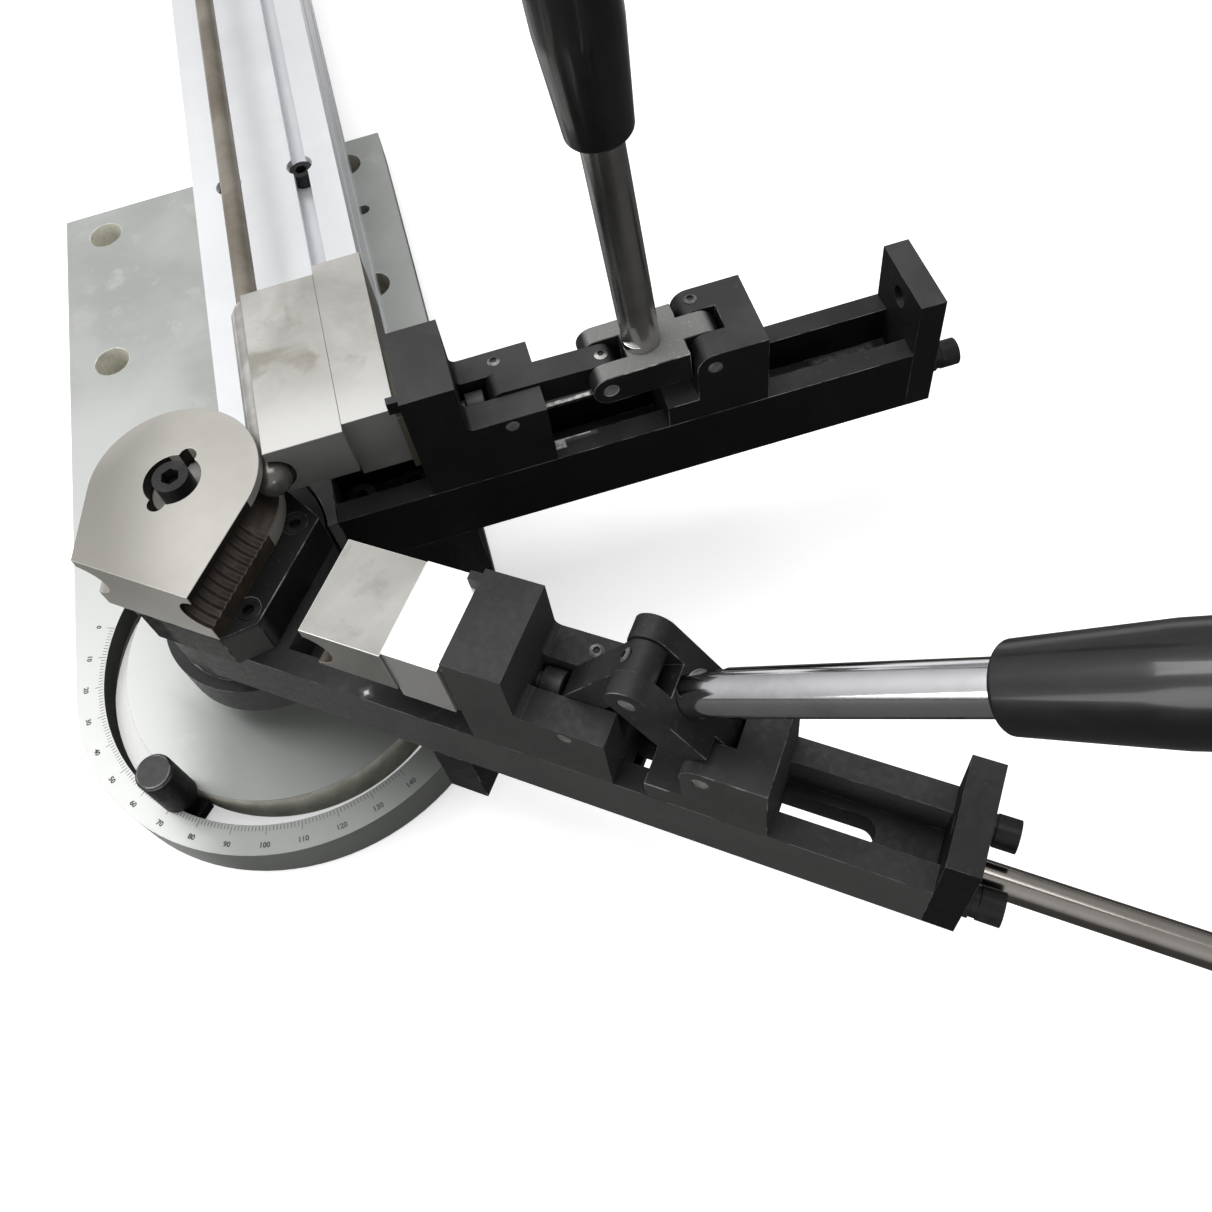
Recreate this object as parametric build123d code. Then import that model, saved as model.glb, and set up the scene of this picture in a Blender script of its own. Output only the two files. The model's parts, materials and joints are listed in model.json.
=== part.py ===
import os
from math import cos, radians, sin

from build123d import *

os.makedirs("parts", exist_ok=True)

# Fits, millimetres
running = 0.05
slide_gap = 0.1
side_gap = 0.25
snug = 0.02

# Base plate and its arc slot, centred on the pivot
plate_t = 22.0
plate_r = 106.7
plate_rear = 360.0
slot_in, slot_out = 81.4, 92.7
slot_mid = (slot_in + slot_out) / 2
slot_from, slot_to = 150, 350
tee_half = 10.0
tee_depth = 9.0
bolt_x, bolt_pitch, bolt_inset, bolt_r = 80.5, 114.5, 23.25, 10.5
bolt_y = plate_rear - bolt_inset - bolt_pitch / 2
spare_hole = (85.5, 290.0, 4.0)
thread_low = 6.0
post_in = 14.0

# Rail, with two slots a face at a fixed distance from its edges
rail_w = 80.0
rail_x = 44.2
rail_front, rail_long = 46.0, 700.0
rail_top = plate_t + rail_w
rail_bore = 18.0
tee_edge, tee_open, tee_lip, tee_wide, tee_web = 20.0, 8.0, 4.0, 13.5, 2.25
tee_pitch = rail_w / 2 - tee_edge
tee_deep = tee_edge - tee_wide / 2 - tee_web
rail_screw_x = (rail_x - tee_pitch, rail_x + tee_pitch)
rail_screw_y = (84.0, 242.0)

# Pivot
post_r, post_top, post_screw_low = 18.0, 93.0, 68.0
bush_wall = 4.0
hub_r, hub_low, hub_top, neck_r = 45.3, 40.0, 60.0, 40.0
flange_r, washer_t = 30.0, 1.0
cap_r, cap_t, cap_room = 25.0, 4.0, 1.5

# Arms, measured from the pivot; the two arms meet at the split plane
swing_deg = 36.4
split = -2.8
arm_gap = 0.6
arm_w = 39.0
arm_y = split + arm_gap / 2 + arm_w / 2
side_in, side_out = arm_y - arm_w / 2, arm_y + arm_w / 2
arm_low, floor_z, arm_top = 71.3, 86.0, 105.0
wall = 10.0
root_from, root_to, arm_from, arm_end = 38.0, 51.5, 6.0, 308.0
hub_gap, riser_gap, bracket_gap = 1.1, 0.7, 0.3
riser_to = 107.0
arm_screw_x = (62.0, 86.0)
floor_slot_w, floor_slot_from, floor_slot_to = 11.0, 130.0, 286.0
end_t, end_top, end_hole_z, end_hole_r = 11.0, 133.6, 122.0, 5.0
end_screw_off, end_screw_z, end_screw_in = 13.2, 92.0, 20.0
end_washer_t, end_lock_t = 1.6, 2.4
pull_z, pull_r, pull_long, pull_in = 81.0, 6.0, 300.0, 14.0
bracket_from, bracket_to, bracket_low, bracket_set = 16.0, 131.0, 50.0, 11.0
finger_from, finger_w, finger_low = 113.0, 20.0, 33.0

# Toggle: equal yoke and link lengths, all pins on one level when closed
arm_pin = 43.0
pin_z = 134.5
pin_r = 3.0
over_centre, opened = -1.5, 55.5
pressure_rear_pin = 220.4
clamp_rear_pin = 229.1
yoke_w, yoke_h, yoke_back, fork_deep = 30.0, 7.5, 8.5, 10.0
tongue_w, link_w, link_h = 12.6, 12.0, 6.3
lever_at, lever_r, lever_out, lever_lean = 25.0, 8.0, 107.0, 1.8
lever_lift, tenon_r, tenon_in = 0.3, 6.0, 12.0
flat_from, flat_long, flat_at = 4.0, 12.0, 6.8
grip_r, grip_long, grip_in = 15.4, 112.0, 35.0
block_front, block_back, shelf_z = 21.0, 23.0, 117.0
clamp_bolt_at, clamp_bolt_top, nut_half, nut_t = 2.0, 110.0, 11.0, 6.0

# Dies and their holders
die_low, die_top = 126.0, 159.0
face_top = 159.3
groove_r, groove_z, bend_r = 9.6, 144.6, 36.0
lip = 0.7
die_r = bend_r - lip
die_front = -45.0
taper_deg, taper_x = 203.0, -18.9
tooth_n, tooth_h = 11, 0.9
spigot_r, spigot_top, lobe_at, lobe_r = 11.8, 151.0, 12.0, 3.6
seat_r, seat_left, seat_x, seat_y = 34.0, -5.0, 46.4, 18.1
seat_tangent_deg, seat_chamfer = 68.6, 11.5
seat_screw_at = ((37.4, 12.5), (38.9, -29.2))
seat_screw_sunk, seat_screw_low = 6.4, 88.0
die_screw_low = 108.0
holder_front, holder_back, holder_top = 40.6, 18.1, 166.0
clevis_back, clevis_top, clevis_slot, clevis_floor = 15.2, 139.0, 12.5, 112.0
clevis_in, clevis_fillet, guide_front = 6.9, 3.0, 30.0
tab_out, tab_w, tab_at, tab_gap = 4.7, 3.5, 3.9, 0.3
shim_t, backing_t, face_t = 2.5, 21.7, 33.0
shim_in, shim_drop = 1.0, 1.5
backing_low, face_low = 126.0, 133.0
bolt_z, bolt_seat, bolt_in = 130.0, 16.0, 14.0
pressure_face_y = (-1.3, 90.0)
pressure_back_y = (2.5, 95.4)
clamp_face_y = (-2.0, 37.9)
clamp_back_y = (-2.3, 36.7)

# Angle stop
stop_deg, stop_r, stop_top = -132.5, 8.7, 51.0
stud_r, stud_low = 5.0, 3.0

# Mandrel and its tail support
rod_r, rod_rear = 5.0, rail_front + rail_long - 1.0
head_r, head_tip, head_long = 8.0, -9.3, 105.5
shoulder_r, shoulder_long, spigot_in = 6.3, 5.0, 14.0
support_inset, support_half, support_t = 86.0, 10.0, 12.0
support_y = rail_front + rail_long - support_inset
foot_half, column_half, foot_screw_at = 30.0, 16.0, 20.0


def block(x0, x1, y0, y1, z0, z1):
    return Pos((x0 + x1) / 2, (y0 + y1) / 2, (z0 + z1) / 2) * Box(x1 - x0, y1 - y0, z1 - z0)


def post(r, x, y, z0, z1):
    return Pos(x, y, (z0 + z1) / 2) * Cylinder(r, z1 - z0)


def along_x(r, x0, x1, y, z):
    return Pos((x0 + x1) / 2, y, z) * Rot(0, 90, 0) * Cylinder(r, x1 - x0)


def along_y(r, y0, y1, x, z):
    return Pos(x, (y0 + y1) / 2, z) * Rot(90, 0, 0) * Cylinder(r, y1 - y0)


def plan(points, z0, z1):
    return Pos(0, 0, z0) * extrude(Polygon(*points, align=None), z1 - z0, dir=(0, 0, 1))


def turned(points):
    return revolve(Plane.XZ * Polygon(*points, align=None), Axis.Z)


def polar(r, deg):
    return r * cos(radians(deg)), r * sin(radians(deg))


def cap_screw(shank_r, head_r, head_h, socket_r, under, tip):
    """Socket screw pointing down, with its head standing on height under."""
    screw = post(head_r, 0, 0, under, under + head_h) + post(shank_r, 0, 0, tip, under)
    socket = Pos(0, 0, under + head_h * 0.4) * extrude(RegularPolygon(socket_r, 6), head_h)
    return screw - socket


def arc_slot(r0, r1, z0, z1):
    steps = range(slot_from, slot_to + 1, 20)
    wedge = plan([(0, 0)] + [polar(2 * plate_r, d) for d in steps], z0, z1)
    ring = post(r1, 0, 0, z0, z1) - post(r0, 0, 0, z0, z1)
    ends = [post((r1 - r0) / 2, *polar((r0 + r1) / 2, d), z0, z1) for d in (slot_from, slot_to)]
    return (ring & wedge) + ends[0] + ends[1]


def as_built(shape):
    return shape


def swung(shape):
    return Rot(0, 0, -swing_deg) * shape


def over(shape):
    """Carry a piece from the pressure arm to its mirrored place on the swing arm."""
    return swung(mirror(shape, about=Plane.XZ.offset(-split)))


def save(name, shape):
    export_step(shape, f"parts/{name}.step")


# Base plate
plate = block(-plate_r, plate_r, 0, plate_rear, 0, plate_t) + post(plate_r, 0, 0, 0, plate_t)
plate -= arc_slot(slot_in, slot_out, 0, plate_t)
plate -= arc_slot(slot_mid - tee_half, slot_mid + tee_half, 0, tee_depth)
plate -= post(post_r, 0, 0, plate_t - post_in, plate_t)
for sx in (-1, 1):
    for sy in (-1, 1):
        plate -= post(bolt_r, sx * bolt_x, bolt_y + sy * bolt_pitch / 2, 0, plate_t)
plate -= post(spare_hole[2], spare_hole[0], spare_hole[1], 0, plate_t)
for x in arm_screw_x:
    plate -= post(4.0, x, arm_y, thread_low, plate_t)
for x in rail_screw_x:
    for y in rail_screw_y:
        plate -= post(4.0, x, y, thread_low, plate_t)
save("base_plate", plate)

# Rail
rail = block(-rail_w / 2, rail_w / 2, 0, rail_long, -rail_w / 2, rail_w / 2)
tee = block(-tee_open / 2, tee_open / 2, 0, rail_long, rail_w / 2 - tee_lip, rail_w / 2)
tee += block(-tee_wide / 2, tee_wide / 2, 0, rail_long, rail_w / 2 - tee_deep, rail_w / 2 - tee_lip)
for turn in (0, 90, 180, 270):
    for sx in (-1, 1):
        rail -= Rot(0, turn, 0) * Pos(sx * tee_pitch, 0, 0) * tee
rail -= block(-rail_bore / 2, rail_bore / 2, 0, rail_long, -rail_bore / 2, rail_bore / 2)
rail = Pos(rail_x, rail_front, plate_t + rail_w / 2) * rail
rail_screws = []
for x in rail_screw_x:
    for y in rail_screw_y:
        rail -= post(7.2, x, y, rail_top - tee_deep, rail_top) + post(4.3, x, y, plate_t, rail_top)
        rail_screws.append(Pos(x, y, 0) * cap_screw(4.0, 6.5, 8.0, 3.4, rail_top - tee_deep, thread_low))
save("rail", rail)
save("rail_screws", Compound(rail_screws))

# Pivot: a flanged post that carries the hub on a thrust washer
flange_top = hub_low - washer_t
pivot_post = post(post_r, 0, 0, plate_t - post_in, post_top) + post(flange_r, 0, 0, plate_t, flange_top)
save("pivot_post", pivot_post - post(5.0, 0, 0, post_screw_low, post_top))
washer = post(flange_r, 0, 0, flange_top, hub_low - running) - post(post_r + 0.4, 0, 0, flange_top, hub_low)
save("thrust_washer", washer)
cap_top = post_top + cap_t
save("post_cap", post(cap_r, 0, 0, post_top, cap_top) - post(5.2, 0, 0, post_top, cap_top))
save("post_screw", cap_screw(5.0, 8.0, 7.0, 4.2, cap_top, post_screw_low + 2))
bush_top = post_top - 0.3
bush = post(post_r + bush_wall, 0, 0, hub_low, bush_top) - post(post_r + running, 0, 0, hub_low, bush_top)
save("pivot_bush", swung(bush))


# Arms
def trough():
    cut = block(root_to, arm_end, side_in + wall, side_out - wall, floor_z, arm_top)
    half = floor_slot_w / 2
    cut += block(floor_slot_from + half, floor_slot_to - half, arm_y - half, arm_y + half, arm_low, floor_z)
    for x in (floor_slot_from + half, floor_slot_to - half):
        cut += post(half, x, arm_y, arm_low, floor_z)
    for y in end_screw_y:
        cut += along_x(3.0, arm_end - end_screw_in, arm_end, y, end_screw_z)
    return cut


def end_plate():
    plate = block(arm_end, arm_end + end_t, side_in, side_out, arm_low, end_top)
    plate -= along_x(end_hole_r, arm_end, arm_end + end_t, arm_y, end_hole_z)
    for y in end_screw_y:
        plate -= along_x(3.3, arm_end, arm_end + end_t, y, end_screw_z)
    return plate


def end_screws():
    outer = arm_end + end_t
    under = outer + end_washer_t + end_lock_t
    found = []
    for y in end_screw_y:
        screw = cap_screw(3.0, 6.0, 8.0, 3.0, under, arm_end - end_screw_in)
        screw += post(6.3, 0, 0, outer, outer + end_washer_t) + post(5.6, 0, 0, outer + end_washer_t, under)
        found.append(Pos(0, y, end_screw_z) * Rot(0, 90, 0) * screw)
    return Compound(found)


end_screw_y = (arm_y - end_screw_off, arm_y + end_screw_off)
pressure_arm = block(root_to, arm_end, side_in, side_out, arm_low, arm_top) - trough()
arm_root = block(root_from, root_to, side_in, side_out, arm_low, arm_top)
save("arm_root", arm_root - post(hub_r + hub_gap, 0, 0, arm_low, arm_top))
riser = block(hub_r + riser_gap, riser_to, side_in, side_out, plate_t, arm_low)
arm_screws = []
for x in arm_screw_x:
    pressure_arm -= post(4.3, x, arm_y, arm_low, floor_z)
    riser -= post(4.3, x, arm_y, plate_t, arm_low)
    arm_screws.append(Pos(x, arm_y, 0) * cap_screw(4.0, 6.5, 8.0, 3.4, floor_z, thread_low))
save("pressure_arm", pressure_arm)
save("arm_riser", riser)
save("arm_screws", Compound(arm_screws))
save("pressure_end_plate", end_plate())
save("pressure_end_screws", end_screws())

swing_arm = block(arm_from, arm_end, side_in, side_out, arm_low, arm_top) - trough()
swing_arm -= along_x(4.0, arm_end - pull_in, arm_end, arm_y, pull_z)
hub = post(hub_r, 0, 0, hub_low, hub_top) + post(neck_r, 0, 0, hub_top, arm_top)
hub += post(hub_r, 0, 0, hub_top, arm_top) & block(arm_from, hub_r, split - arm_gap, hub_r, hub_top, arm_top)
swing_arm = over(swing_arm) + swung(hub)
swing_arm -= post(post_r + bush_wall, 0, 0, hub_low, arm_top)
swing_arm -= post(cap_r + cap_room, 0, 0, bush_top, arm_top)
for x, y in seat_screw_at:
    swing_arm -= swung(post(3.0, x, y, seat_screw_low, arm_top))
save("swing_arm", swing_arm)
save("swing_end_plate", over(end_plate() - along_x(4.0, arm_end, arm_end + end_t, arm_y, pull_z)))
save("swing_end_screws", over(end_screws()))
pull_from = arm_end + end_t
pull_rod = along_x(pull_r, pull_from, pull_from + pull_long, arm_y, pull_z)
pull_rod = chamfer(pull_rod.edges().group_by(Axis.X)[-1], 1.5)
save("pull_rod", over(pull_rod + along_x(4.0, arm_end - pull_in, pull_from, arm_y, pull_z)))
near_y = split - arm_gap / 2 - arm_w
bracket = block(bracket_from, bracket_to, near_y + bracket_set, near_y + arm_w, bracket_low, arm_low)
bracket += block(finger_from, bracket_to, near_y, near_y + finger_w, finger_low, arm_low)
save("stop_bracket", swung(bracket - post(hub_r + bracket_gap, 0, 0, hub_low, arm_low)))

# Bend die on its seat
outline = [(seat_left, die_front), (seat_x, die_front), (seat_x, seat_y)]
outline += [polar(seat_r, seat_tangent_deg), (seat_left, 0)]
seat = plan(outline, arm_top, die_low)
corner = seat.edges().filter_by(Axis.Z).sort_by_distance((seat_x, die_front, die_low))[0]
seat = chamfer(corner, seat_chamfer) + post(seat_r, 0, 0, arm_top, die_low)
seat += post(spigot_r - running, 0, 0, die_low, spigot_top)
for y in (-lobe_at, lobe_at):
    seat += post(lobe_r - side_gap, 0, y, die_low, spigot_top)
seat -= post(6.0, 0, 0, die_screw_low, spigot_top)
seat_screws = []
sunk = die_low - seat_screw_sunk
for x, y in seat_screw_at:
    seat -= post(5.2, x, y, sunk, die_low) + post(3.2, x, y, arm_top, die_low)
    seat_screws.append(Pos(x, y, 0) * cap_screw(3.0, 5.0, 6.0, 2.6, sunk, seat_screw_low))
save("die_seat", swung(seat))
save("seat_screws", swung(Compound(seat_screws)))
save("die_screw", swung(cap_screw(6.0, 7.5, 10.0, 4.0, spigot_top, die_screw_low)))

outline = [(die_r, 0), (die_r, die_front), (taper_x, die_front), polar(die_r, taper_deg), (0, 0)]
bend_die = post(die_r, 0, 0, die_low, die_top) + plan(outline, die_low, die_top)
teeth = [(0, 2), (groove_r, 2)]
tooth_p = -die_front / tooth_n
for i in range(tooth_n):
    teeth += [(groove_r, -i * tooth_p), (groove_r + tooth_h, -(i + 0.5) * tooth_p)]
teeth += [(groove_r, die_front), (groove_r, die_front - 2), (0, die_front - 2)]
bend_die -= Pos(bend_r, 0, groove_z) * Rot(-90, 0, 0) * turned(teeth)
round_groove = Plane.XZ * Pos(bend_r, groove_z) * Circle(groove_r)
bend_die -= revolve(round_groove, Axis.Z, taper_deg)
taper_run = Pos(*polar(bend_r, taper_deg), groove_z) * Rot(0, 0, taper_deg)
bend_die -= taper_run * along_y(groove_r, 0, 2 * die_r, 0, 0)
bend_die -= post(spigot_r, 0, 0, die_low, die_top)
for y in (-lobe_at, lobe_at):
    bend_die -= post(lobe_r, 0, y, die_low, die_top)
save("bend_die", swung(bend_die))


# Toggle clamps, built on the pressure arm
def adjust_block(rear):
    low = arm_top + slide_gap
    shape = block(rear - block_front, rear + block_back, side_in, side_out, low, shelf_z)
    shape += block(rear - yoke_h, rear + block_back, side_in, side_out, shelf_z, pin_z)
    shape += block(rear, rear + block_back, side_in, side_out, pin_z, pin_z + yoke_h)
    shape += along_y(yoke_h, side_in, side_out, rear, pin_z)
    half, top = tongue_w / 2 + 0.2, pin_z + 2 * yoke_h
    shape -= block(rear - yoke_back, rear + yoke_back, arm_y - half, arm_y + half, shelf_z, top)
    guide = arm_w / 2 - wall - slide_gap
    shape += block(rear - block_front, rear + block_back, arm_y - guide, arm_y + guide, floor_z + 0.2, low)
    shape -= along_y(pin_r + snug, side_in, side_out, rear, pin_z)
    return shape - post(4.0, rear + clamp_bolt_at, arm_y, floor_z, clamp_bolt_top)


def adjust_bolt(rear):
    top = arm_low - slide_gap
    low = top - nut_t
    bolt = Rot(180, 0, 0) * cap_screw(4.0, 6.5, 8.0, 3.4, 0, low - clamp_bolt_top)
    clamp = block(-nut_half, nut_half, -nut_half, nut_half, 0, nut_t)
    return Pos(rear + clamp_bolt_at, arm_y, low) * (bolt + clamp)


def cross_pin(x, z, long):
    return along_y(pin_r, arm_y - long / 2, arm_y + long / 2, x, z)


def yoke_place(rear, deg):
    return Pos(rear, arm_y, pin_z) * Rot(0, deg, 0)


def lever_place():
    return Pos(-lever_at, 0, yoke_h) * Rot(0, -lever_lean, 0)


def yoke():
    half = yoke_w / 2
    fork = link_w / 2 + side_gap
    shape = block(-arm_pin, -yoke_back, -half, half, -yoke_h, yoke_h)
    shape += along_y(yoke_h, -half, half, -arm_pin, 0)
    shape -= block(-arm_pin - fork_deep, -arm_pin + fork_deep, -fork, fork, -yoke_h, yoke_h)
    shape += block(-yoke_back, 0, -tongue_w / 2, tongue_w / 2, -yoke_h, yoke_h)
    shape += along_y(yoke_h, -tongue_w / 2, tongue_w / 2, 0, 0)
    for x in (-arm_pin, 0):
        shape -= along_y(pin_r + running, -half, half, x, 0)
    return shape - lever_place() * post(tenon_r, 0, 0, -tenon_in, yoke_h)


def lever():
    rod = post(lever_r, 0, 0, lever_lift, lever_out + grip_in)
    flat = block(flat_at, 2 * lever_r, -lever_r, lever_r, flat_from, flat_from + flat_long)
    for turn in (45, 225):
        rod -= Rot(0, 0, turn) * flat
    return lever_place() * (rod + post(tenon_r, 0, 0, -tenon_in, lever_lift))


def grip():
    side = [(0.73, 0), (0.8, 0.01), (0.975, 0.375), (1, 0.89), (0.935, 0.955), (0.715, 0.987)]
    side = [(0, 0)] + [(grip_r * r, grip_long * z) for r, z in side] + [(0, grip_long)]
    solid = turned(side) - post(lever_r, 0, 0, 0, grip_in)
    return lever_place() * Pos(0, 0, lever_out) * solid


def link():
    half = link_w / 2
    shape = block(-arm_pin, 0, -half, half, -link_h, link_h)
    for x, r in ((-arm_pin, pin_r + running), (0, pin_r + snug)):
        shape += along_y(link_h, -half, half, x, 0)
        shape -= along_y(r, -half, half, x, 0)
    return shape


def holder(pin):
    low = arm_top + slide_gap
    front, back, rear = pin - holder_front, pin - holder_back, pin + clevis_back
    shape = block(front, back, side_in, side_out, low, holder_top)
    shape += block(back, rear, side_in, side_out, low, clevis_top)
    corner, corner_top = back + clevis_fillet, clevis_top + clevis_fillet
    shape += block(back, corner, side_in, side_out, clevis_top, corner_top)
    shape -= along_y(clevis_fillet, side_in, side_out, corner, corner_top)
    half = clevis_slot / 2
    shape -= block(pin - clevis_in, rear, arm_y - half, arm_y + half, clevis_floor, corner_top)
    guide = arm_w / 2 - wall - slide_gap
    shape += block(pin - guide_front, rear, arm_y - guide, arm_y + guide, floor_z + 0.2, low)
    tab_y, tab_low = side_in + tab_at, face_top + tab_gap
    shape += block(front - tab_out, front, tab_y - tab_w / 2, tab_y + tab_w / 2, tab_low, holder_top)
    shape -= along_y(pin_r + snug, side_in, side_out, pin, pin_z)
    shape -= along_x(7.0, pin - bolt_seat, pin - clevis_in, arm_y, bolt_z)
    return shape - along_x(4.2, front, pin - bolt_seat, arm_y, bolt_z)


def keeper(pin):
    neck = floor_slot_w / 2 - 0.3
    top = arm_low - slide_gap
    rear = pin + clevis_back
    plate = block(rear - 16, rear, arm_y - nut_half, arm_y + nut_half, top - nut_t, top)
    return plate + block(rear - 13, rear - 3, arm_y - neck, arm_y + neck, top, floor_z + 0.2)


def shim(pin):
    x1 = pin - holder_front
    plate = block(x1 - shim_t, x1, side_in + shim_in, side_out - shim_in, backing_low, face_top - shim_drop)
    return plate - along_x(4.4, x1 - shim_t, x1, arm_y, bolt_z)


def backing(pin, span):
    x1 = pin - holder_front - shim_t
    shape = block(x1 - backing_t, x1, span[0], span[1], backing_low, face_top)
    return shape - along_x(4.0, x1 - bolt_in, x1, arm_y, bolt_z)


def face_die(pin, span):
    x1 = pin - holder_front - shim_t - backing_t
    shape = block(x1 - face_t, x1, span[0], span[1], face_low, face_top)
    return shape - along_y(groove_r, span[0], span[1], x1 - face_t - lip, groove_z)


def die_bolt(pin):
    reach = holder_front + shim_t + bolt_in - bolt_seat
    screw = cap_screw(4.0, 6.5, 8.0, 3.4, 0, -reach)
    return Pos(pin - bolt_seat, arm_y, bolt_z) * Rot(0, 90, 0) * screw


def save_toggle(name, place, rear, deg, face_y, back_y):
    at_yoke = yoke_place(rear, deg)
    front_x = rear - arm_pin * cos(radians(deg))
    front_z = pin_z + arm_pin * sin(radians(deg))
    pin = rear - 2 * arm_pin * cos(radians(deg))
    at_link = Pos(front_x, arm_y, front_z) * Rot(0, -deg, 0)
    save(f"{name}_adjust_block", place(adjust_block(rear)))
    save(f"{name}_adjust_bolt", place(adjust_bolt(rear)))
    save(f"{name}_rear_pin", place(cross_pin(rear, pin_z, arm_w - 0.4)))
    save(f"{name}_yoke", place(at_yoke * yoke()))
    save(f"{name}_lever", place(at_yoke * lever()))
    save(f"{name}_grip", place(at_yoke * grip()))
    save(f"{name}_link", place(at_link * link()))
    save(f"{name}_link_pin", place(cross_pin(front_x, front_z, yoke_w - 0.4)))
    save(f"{name}_holder", place(holder(pin)))
    save(f"{name}_holder_pin", place(cross_pin(pin, pin_z, arm_w - 0.4)))
    save(f"{name}_keeper", place(keeper(pin)))
    save(f"{name}_shim", place(shim(pin)))
    save(f"{name}_backing", place(backing(pin, back_y)))
    save(f"{name}_die", place(face_die(pin, face_y)))
    save(f"{name}_die_bolt", place(die_bolt(pin)))


save_toggle("pressure", as_built, pressure_rear_pin, over_centre, pressure_face_y, pressure_back_y)
save_toggle("clamp", over, clamp_rear_pin, opened, clamp_face_y, clamp_back_y)

# Angle stop in the arc slot
stop_x, stop_y = polar(slot_mid, stop_deg)
stop = chamfer(post(stop_r, 0, 0, plate_t + slide_gap, stop_top).edges().group_by(Axis.Z)[-1], 1.0)
stop += post(stud_r, 0, 0, stud_low, plate_t + slide_gap)
save("angle_stop", Pos(stop_x, stop_y, 0) * stop)
nut = block(-8, 8, -7, 7, stud_low - 1, tee_depth - slide_gap) - post(stud_r, 0, 0, 0, tee_depth)
save("stop_nut", Pos(stop_x, stop_y, 0) * Rot(0, 0, stop_deg) * nut)

# Mandrel rod with its head and tail support
head_top = head_long - shoulder_long
head = Pos(0, 0, head_r) * Sphere(head_r) + post(head_r, 0, 0, head_r, head_top)
head += Pos(0, 0, head_long - shoulder_long / 2) * Cone(head_r, shoulder_r, shoulder_long)
head -= post(4.0, 0, 0, head_long - spigot_in, head_long)
along = Pos(bend_r, head_tip, groove_z) * Rot(-90, 0, 0)
save("mandrel_head", along * head)
rod = post(rod_r, 0, 0, head_long, rod_rear - head_tip) + post(4.0, 0, 0, head_long - spigot_in, head_long)
save("mandrel_rod", along * rod)
foot_x = rail_w / 2 - tee_lip
foot_top = rail_top + support_t
front, back = support_y - support_half, support_y + support_half
support = Pos(rail_x, support_y, rail_top + support_t / 2) * Box(2 * foot_x, 2 * foot_half, support_t)
support += block(bend_r - column_half, bend_r + column_half, front, back, foot_top, groove_z)
support += along_y(column_half, front, back, bend_r, groove_z)
support -= along_y(rod_r + running, front, back, bend_r, groove_z)
support_screws = []
nut_low = rail_top - tee_deep + 1
for x in rail_screw_x:
    for y in (support_y - foot_screw_at, support_y + foot_screw_at):
        support -= post(3.3, x, y, rail_top, foot_top)
        screw = cap_screw(3.0, 5.0, 6.0, 2.6, foot_top, nut_low)
        screw += block(-6, 6, -7, 7, nut_low, rail_top - tee_lip)
        support_screws.append(Pos(x, y, 0) * screw)
save("rod_support", support)
save("rod_support_screws", Compound(support_screws))
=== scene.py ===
import json
import math

import bpy
from mathutils import Euler, Matrix, Vector


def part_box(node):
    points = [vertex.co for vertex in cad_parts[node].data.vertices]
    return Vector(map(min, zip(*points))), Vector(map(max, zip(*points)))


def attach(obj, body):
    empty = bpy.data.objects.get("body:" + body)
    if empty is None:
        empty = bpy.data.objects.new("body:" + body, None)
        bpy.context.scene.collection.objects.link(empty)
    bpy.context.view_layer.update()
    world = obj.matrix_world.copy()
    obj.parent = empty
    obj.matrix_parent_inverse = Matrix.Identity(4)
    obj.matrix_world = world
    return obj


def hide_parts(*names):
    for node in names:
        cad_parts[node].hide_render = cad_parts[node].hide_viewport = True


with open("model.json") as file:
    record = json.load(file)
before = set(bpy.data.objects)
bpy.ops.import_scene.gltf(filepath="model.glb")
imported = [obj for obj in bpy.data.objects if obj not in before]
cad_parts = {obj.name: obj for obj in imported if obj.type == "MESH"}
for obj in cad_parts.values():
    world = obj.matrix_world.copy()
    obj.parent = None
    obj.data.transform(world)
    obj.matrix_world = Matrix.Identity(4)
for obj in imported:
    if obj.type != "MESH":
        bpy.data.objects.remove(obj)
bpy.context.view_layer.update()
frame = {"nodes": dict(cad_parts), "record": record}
cadNodes = frame["nodes"]
mm = 0.001
swingTurn = math.radians(-36.4)  # the swing arm's angle in the photograph
crossTurn = math.radians(53.6)  # square to the swing arm
print("frame loaded:", len(cadNodes), "nodes")


# node groups that several finishes share
number, vector = "NodeSocketFloat", "NodeSocketVector"  # kinds of group socket


def newGroup(name, inputs, outputs):
    group = bpy.data.node_groups.new(name, "ShaderNodeTree")
    for label, kind, value in inputs:
        socket = group.interface.new_socket(label, in_out="INPUT", socket_type=kind)
        socket.default_value = value
    for label in outputs:
        group.interface.new_socket(label, in_out="OUTPUT", socket_type=number)
    return group, group.nodes.new("NodeGroupInput"), group.nodes.new("NodeGroupOutput")


def addNode(tree, kind, settings=None, values=None):
    node = tree.nodes.new(kind)
    for key, value in (settings or {}).items():
        setattr(node, key, value)
    for key, value in (values or {}).items():
        node.inputs[key].default_value = value
    return node


def joinAll(tree, links):
    for giver, output, taker, entry in links:
        tree.links.new(giver.outputs[output], taker.inputs[entry])


patchLook = {"cloud": {"Detail": 6.0, "Roughness": 0.58, "Distortion": 0.35},
             "grit": {"Detail": 3.0, "Roughness": 0.6}, "finer": 14.0}


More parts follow.
